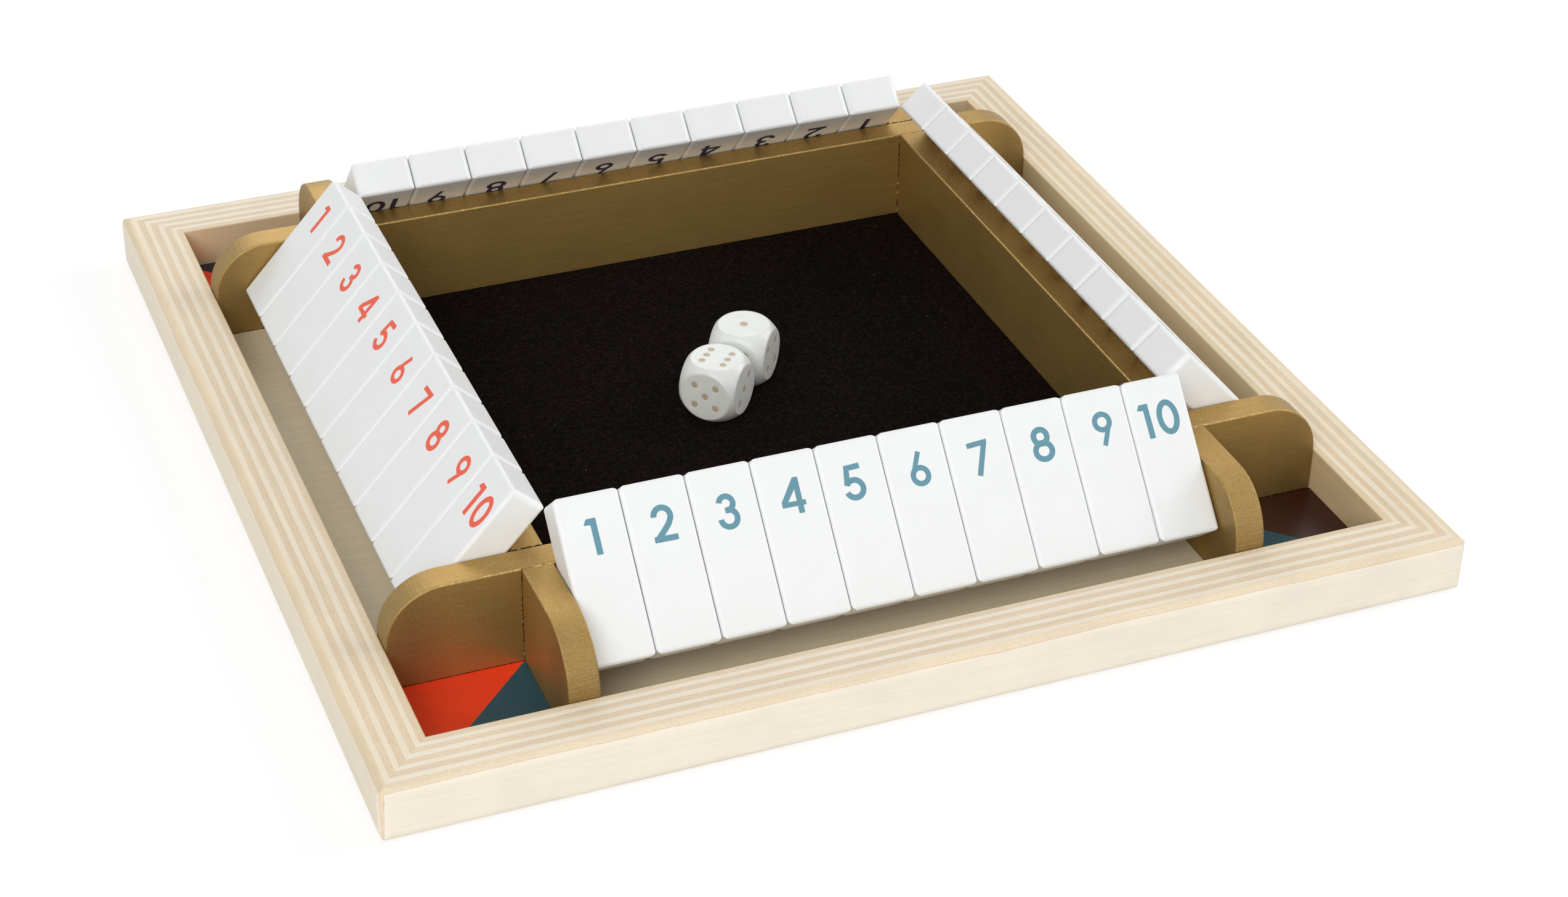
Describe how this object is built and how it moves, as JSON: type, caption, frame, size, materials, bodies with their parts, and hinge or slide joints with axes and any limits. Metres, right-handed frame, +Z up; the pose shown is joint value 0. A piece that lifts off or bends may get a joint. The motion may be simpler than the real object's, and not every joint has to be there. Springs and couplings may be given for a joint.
{
  "type": "shut the box game",
  "caption": "Square shut the box game for four: a mitred plywood tray with a felt-floored dice well, and a row of numbered flaps on a steel rod along each side.",
  "frame": {"origin": "centre of the underside of the frame", "axes": "+Z up; +X to the right along the front rail; -Y is the front, the side with the teal numbers"},
  "size_m": [0.34, 0.34, 0.0571],
  "materials": {
    "rail_ply": "birch plywood, sanded, clear satin",
    "panel_ply": "birch plywood, bare",
    "felt": "black felt",
    "board_gold": "gold-bronze paint, satin",
    "rod_steel": "bright drawn steel",
    "flap_white": "white satin paint",
    "die_white": "white, satin",
    "pip_tan": "tan fill",
    "paint_front": "teal paint",
    "paint_right": "maroon paint",
    "paint_back": "navy paint",
    "paint_left": "red paint"
  },
  "bodies": {
    "tray": {"base_panel": "panel_ply", "felt_mat": "felt", "front_rail": "rail_ply", "right_rail": "rail_ply", "back_rail": "rail_ply", "left_rail": "rail_ply", "front_board": "board_gold", "right_board": "board_gold", "back_board": "board_gold", "left_board": "board_gold", "front_rod": "rod_steel", "right_rod": "rod_steel", "back_rod": "rod_steel", "left_rod": "rod_steel"},
    "flap_front_01": {"flap_front_01": "flap_white"},
    "flap_front_02": {"flap_front_02": "flap_white"},
    "flap_front_03": {"flap_front_03": "flap_white"},
    "flap_front_04": {"flap_front_04": "flap_white"},
    "flap_front_05": {"flap_front_05": "flap_white"},
    "flap_front_06": {"flap_front_06": "flap_white"},
    "flap_front_07": {"flap_front_07": "flap_white"},
    "flap_front_08": {"flap_front_08": "flap_white"},
    "flap_front_09": {"flap_front_09": "flap_white"},
    "flap_front_10": {"flap_front_10": "flap_white"},
    "flap_right_01": {"flap_right_01": "flap_white"},
    "flap_right_02": {"flap_right_02": "flap_white"},
    "flap_right_03": {"flap_right_03": "flap_white"},
    "flap_right_04": {"flap_right_04": "flap_white"},
    "flap_right_05": {"flap_right_05": "flap_white"},
    "flap_right_06": {"flap_right_06": "flap_white"},
    "flap_right_07": {"flap_right_07": "flap_white"},
    "flap_right_08": {"flap_right_08": "flap_white"},
    "flap_right_09": {"flap_right_09": "flap_white"},
    "flap_right_10": {"flap_right_10": "flap_white"},
    "flap_back_01": {"flap_back_01": "flap_white"},
    "flap_back_02": {"flap_back_02": "flap_white"},
    "flap_back_03": {"flap_back_03": "flap_white"},
    "flap_back_04": {"flap_back_04": "flap_white"},
    "flap_back_05": {"flap_back_05": "flap_white"},
    "flap_back_06": {"flap_back_06": "flap_white"},
    "flap_back_07": {"flap_back_07": "flap_white"},
    "flap_back_08": {"flap_back_08": "flap_white"},
    "flap_back_09": {"flap_back_09": "flap_white"},
    "flap_back_10": {"flap_back_10": "flap_white"},
    "flap_left_01": {"flap_left_01": "flap_white"},
    "flap_left_02": {"flap_left_02": "flap_white"},
    "flap_left_03": {"flap_left_03": "flap_white"},
    "flap_left_04": {"flap_left_04": "flap_white"},
    "flap_left_05": {"flap_left_05": "flap_white"},
    "flap_left_06": {"flap_left_06": "flap_white"},
    "flap_left_07": {"flap_left_07": "flap_white"},
    "flap_left_08": {"flap_left_08": "flap_white"},
    "flap_left_09": {"flap_left_09": "flap_white"},
    "flap_left_10": {"flap_left_10": "flap_white"},
    "die_front": {"die_front": "die_white"},
    "die_rear": {"die_rear": "die_white"}
  },
  "joints": [
    {"name": "flap_front_01_turn", "type": "hinge", "parent": "tray", "child": "flap_front_01", "pos_m": [-0.09022, -0.13309, 0.0212], "axis": [1, 0, 0], "range_deg": [0, 120.2]},
    {"name": "flap_front_02_turn", "type": "hinge", "parent": "tray", "child": "flap_front_02", "pos_m": [-0.07018, -0.13309, 0.0212], "axis": [1, 0, 0], "range_deg": [0, 120.2]},
    {"name": "flap_front_03_turn", "type": "hinge", "parent": "tray", "child": "flap_front_03", "pos_m": [-0.05013, -0.13309, 0.0212], "axis": [1, 0, 0], "range_deg": [0, 120.2]},
    {"name": "flap_front_04_turn", "type": "hinge", "parent": "tray", "child": "flap_front_04", "pos_m": [-0.03008, -0.13309, 0.0212], "axis": [1, 0, 0], "range_deg": [0, 120.2]},
    {"name": "flap_front_05_turn", "type": "hinge", "parent": "tray", "child": "flap_front_05", "pos_m": [-0.01002, -0.13309, 0.0212], "axis": [1, 0, 0], "range_deg": [0, 120.2]},
    {"name": "flap_front_06_turn", "type": "hinge", "parent": "tray", "child": "flap_front_06", "pos_m": [0.01002, -0.13309, 0.0212], "axis": [1, 0, 0], "range_deg": [0, 120.2]},
    {"name": "flap_front_07_turn", "type": "hinge", "parent": "tray", "child": "flap_front_07", "pos_m": [0.03008, -0.13309, 0.0212], "axis": [1, 0, 0], "range_deg": [0, 120.2]},
    {"name": "flap_front_08_turn", "type": "hinge", "parent": "tray", "child": "flap_front_08", "pos_m": [0.05013, -0.13309, 0.0212], "axis": [1, 0, 0], "range_deg": [0, 120.2]},
    {"name": "flap_front_09_turn", "type": "hinge", "parent": "tray", "child": "flap_front_09", "pos_m": [0.07018, -0.13309, 0.0212], "axis": [1, 0, 0], "range_deg": [0, 120.2]},
    {"name": "flap_front_10_turn", "type": "hinge", "parent": "tray", "child": "flap_front_10", "pos_m": [0.09022, -0.13309, 0.0212], "axis": [1, 0, 0], "range_deg": [0, 120.2]},
    {"name": "flap_right_01_turn", "type": "hinge", "parent": "tray", "child": "flap_right_01", "pos_m": [0.13309, -0.09022, 0.0212], "axis": [0, 1, 0], "range_deg": [0, 120.2]},
    {"name": "flap_right_02_turn", "type": "hinge", "parent": "tray", "child": "flap_right_02", "pos_m": [0.13309, -0.07018, 0.0212], "axis": [0, 1, 0], "range_deg": [0, 120.2]},
    {"name": "flap_right_03_turn", "type": "hinge", "parent": "tray", "child": "flap_right_03", "pos_m": [0.13309, -0.05013, 0.0212], "axis": [0, 1, 0], "range_deg": [0, 120.2]},
    {"name": "flap_right_04_turn", "type": "hinge", "parent": "tray", "child": "flap_right_04", "pos_m": [0.13309, -0.03008, 0.0212], "axis": [0, 1, 0], "range_deg": [0, 120.2]},
    {"name": "flap_right_05_turn", "type": "hinge", "parent": "tray", "child": "flap_right_05", "pos_m": [0.13309, -0.01002, 0.0212], "axis": [0, 1, 0], "range_deg": [0, 120.2]},
    {"name": "flap_right_06_turn", "type": "hinge", "parent": "tray", "child": "flap_right_06", "pos_m": [0.13309, 0.01002, 0.0212], "axis": [0, 1, 0], "range_deg": [0, 120.2]},
    {"name": "flap_right_07_turn", "type": "hinge", "parent": "tray", "child": "flap_right_07", "pos_m": [0.13309, 0.03008, 0.0212], "axis": [0, 1, 0], "range_deg": [0, 120.2]},
    {"name": "flap_right_08_turn", "type": "hinge", "parent": "tray", "child": "flap_right_08", "pos_m": [0.13309, 0.05013, 0.0212], "axis": [0, 1, 0], "range_deg": [0, 120.2]},
    {"name": "flap_right_09_turn", "type": "hinge", "parent": "tray", "child": "flap_right_09", "pos_m": [0.13309, 0.07018, 0.0212], "axis": [0, 1, 0], "range_deg": [0, 120.2]},
    {"name": "flap_right_10_turn", "type": "hinge", "parent": "tray", "child": "flap_right_10", "pos_m": [0.13309, 0.09022, 0.0212], "axis": [0, 1, 0], "range_deg": [0, 120.2]},
    {"name": "flap_back_01_turn", "type": "hinge", "parent": "tray", "child": "flap_back_01", "pos_m": [0.09022, 0.13309, 0.0212], "axis": [-1, 0, 0], "range_deg": [0, 120.2]},
    {"name": "flap_back_02_turn", "type": "hinge", "parent": "tray", "child": "flap_back_02", "pos_m": [0.07018, 0.13309, 0.0212], "axis": [-1, 0, 0], "range_deg": [0, 120.2]},
    {"name": "flap_back_03_turn", "type": "hinge", "parent": "tray", "child": "flap_back_03", "pos_m": [0.05013, 0.13309, 0.0212], "axis": [-1, 0, 0], "range_deg": [0, 120.2]},
    {"name": "flap_back_04_turn", "type": "hinge", "parent": "tray", "child": "flap_back_04", "pos_m": [0.03008, 0.13309, 0.0212], "axis": [-1, 0, 0], "range_deg": [0, 120.2]},
    {"name": "flap_back_05_turn", "type": "hinge", "parent": "tray", "child": "flap_back_05", "pos_m": [0.01002, 0.13309, 0.0212], "axis": [-1, 0, 0], "range_deg": [0, 120.2]},
    {"name": "flap_back_06_turn", "type": "hinge", "parent": "tray", "child": "flap_back_06", "pos_m": [-0.01002, 0.13309, 0.0212], "axis": [-1, 0, 0], "range_deg": [0, 120.2]},
    {"name": "flap_back_07_turn", "type": "hinge", "parent": "tray", "child": "flap_back_07", "pos_m": [-0.03008, 0.13309, 0.0212], "axis": [-1, 0, 0], "range_deg": [0, 120.2]},
    {"name": "flap_back_08_turn", "type": "hinge", "parent": "tray", "child": "flap_back_08", "pos_m": [-0.05013, 0.13309, 0.0212], "axis": [-1, 0, 0], "range_deg": [0, 120.2]},
    {"name": "flap_back_09_turn", "type": "hinge", "parent": "tray", "child": "flap_back_09", "pos_m": [-0.07018, 0.13309, 0.0212], "axis": [-1, 0, 0], "range_deg": [0, 120.2]},
    {"name": "flap_back_10_turn", "type": "hinge", "parent": "tray", "child": "flap_back_10", "pos_m": [-0.09022, 0.13309, 0.0212], "axis": [-1, 0, 0], "range_deg": [0, 120.2]},
    {"name": "flap_left_01_turn", "type": "hinge", "parent": "tray", "child": "flap_left_01", "pos_m": [-0.13309, 0.09022, 0.0212], "axis": [0, -1, 0], "range_deg": [0, 120.2]},
    {"name": "flap_left_02_turn", "type": "hinge", "parent": "tray", "child": "flap_left_02", "pos_m": [-0.13309, 0.07018, 0.0212], "axis": [0, -1, 0], "range_deg": [0, 120.2]},
    {"name": "flap_left_03_turn", "type": "hinge", "parent": "tray", "child": "flap_left_03", "pos_m": [-0.13309, 0.05013, 0.0212], "axis": [0, -1, 0], "range_deg": [0, 120.2]},
    {"name": "flap_left_04_turn", "type": "hinge", "parent": "tray", "child": "flap_left_04", "pos_m": [-0.13309, 0.03008, 0.0212], "axis": [0, -1, 0], "range_deg": [0, 120.2]},
    {"name": "flap_left_05_turn", "type": "hinge", "parent": "tray", "child": "flap_left_05", "pos_m": [-0.13309, 0.01002, 0.0212], "axis": [0, -1, 0], "range_deg": [0, 120.2]},
    {"name": "flap_left_06_turn", "type": "hinge", "parent": "tray", "child": "flap_left_06", "pos_m": [-0.13309, -0.01002, 0.0212], "axis": [0, -1, 0], "range_deg": [0, 120.2]},
    {"name": "flap_left_07_turn", "type": "hinge", "parent": "tray", "child": "flap_left_07", "pos_m": [-0.13309, -0.03008, 0.0212], "axis": [0, -1, 0], "range_deg": [0, 120.2]},
    {"name": "flap_left_08_turn", "type": "hinge", "parent": "tray", "child": "flap_left_08", "pos_m": [-0.13309, -0.05013, 0.0212], "axis": [0, -1, 0], "range_deg": [0, 120.2]},
    {"name": "flap_left_09_turn", "type": "hinge", "parent": "tray", "child": "flap_left_09", "pos_m": [-0.13309, -0.07018, 0.0212], "axis": [0, -1, 0], "range_deg": [0, 120.2]},
    {"name": "flap_left_10_turn", "type": "hinge", "parent": "tray", "child": "flap_left_10", "pos_m": [-0.13309, -0.09022, 0.0212], "axis": [0, -1, 0], "range_deg": [0, 120.2]},
    {"name": "die_front_lift", "type": "slide", "parent": "tray", "child": "die_front", "axis": [0, 0, 1], "range_m": [0, 0.06]},
    {"name": "die_rear_lift", "type": "slide", "parent": "tray", "child": "die_rear", "axis": [0, 0, 1], "range_m": [0, 0.06]}
  ]
}
